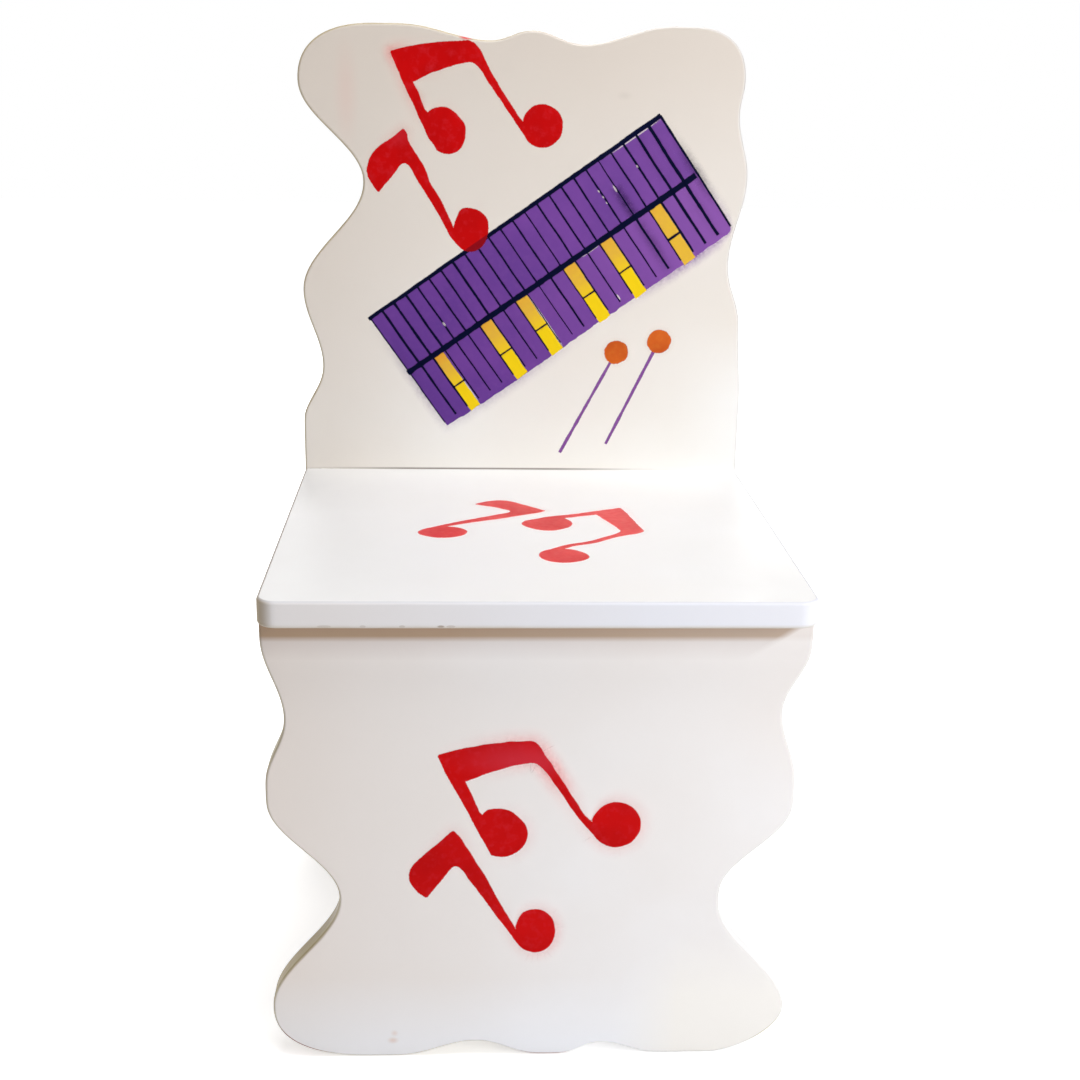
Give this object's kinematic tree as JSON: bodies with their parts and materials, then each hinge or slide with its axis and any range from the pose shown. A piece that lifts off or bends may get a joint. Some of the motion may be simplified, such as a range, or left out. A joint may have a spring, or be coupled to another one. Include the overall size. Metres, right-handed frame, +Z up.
{
  "type": "children's chair",
  "caption": "Small white wooden children's chair with wavy-edged back and front boards, a flat seat and stencilled musical notes, a xylophone and mallets.",
  "frame": {"origin": "middle of the footprint, on the floor", "axes": "+Z up; +Y from the seat's front edge towards the backboard; +X to the right of someone facing the chair's front"},
  "size_m": [0.32, 0.321, 0.62],
  "materials": {
    "white_board": "satin warm-white paint over a smooth board",
    "pine_frame": "bare planed pine, lightly sealed",
    "beech_dowel": "fluted hardwood dowel, unfinished",
    "zinc_bracket": "zinc-plated pressed steel",
    "zinc_screw": "yellowish zinc-plated steel",
    "red_paint": "sprayed red paint, satin",
    "purple_paint": "sprayed purple paint, satin",
    "navy_paint": "brushed navy paint, satin",
    "yellow_paint": "sprayed yellow paint, satin",
    "orange_paint": "sprayed orange paint, satin",
    "lilac_paint": "brushed lilac paint, satin"
  },
  "bodies": {
    "root": {"backboard": "white_board", "front_board": "white_board", "seat_board": "white_board", "left_side_rail": "pine_frame", "right_side_rail": "pine_frame", "lower_stretcher": "pine_frame", "front_batten": "pine_frame", "rear_batten": "pine_frame", "front_rail_dowels": "beech_dowel", "rear_rail_dowels": "beech_dowel", "stretcher_dowels": "beech_dowel", "left_front_bracket": "zinc_bracket", "right_front_bracket": "zinc_bracket", "left_rear_bracket": "zinc_bracket", "right_rear_bracket": "zinc_bracket", "bracket_screws": "zinc_screw", "backboard_screws": "zinc_screw", "front_batten_screws": "zinc_screw", "seat_screws": "zinc_screw", "back_beamed_notes": "red_paint", "back_single_note": "red_paint", "seat_beamed_notes": "red_paint", "seat_single_note": "red_paint", "front_beamed_notes": "red_paint", "front_single_note": "red_paint", "xylophone_bars": "purple_paint", "xylophone_lines": "navy_paint", "xylophone_yellow_bars": "yellow_paint", "mallet_heads": "orange_paint", "mallet_sticks": "lilac_paint"}
  },
  "joints": []
}
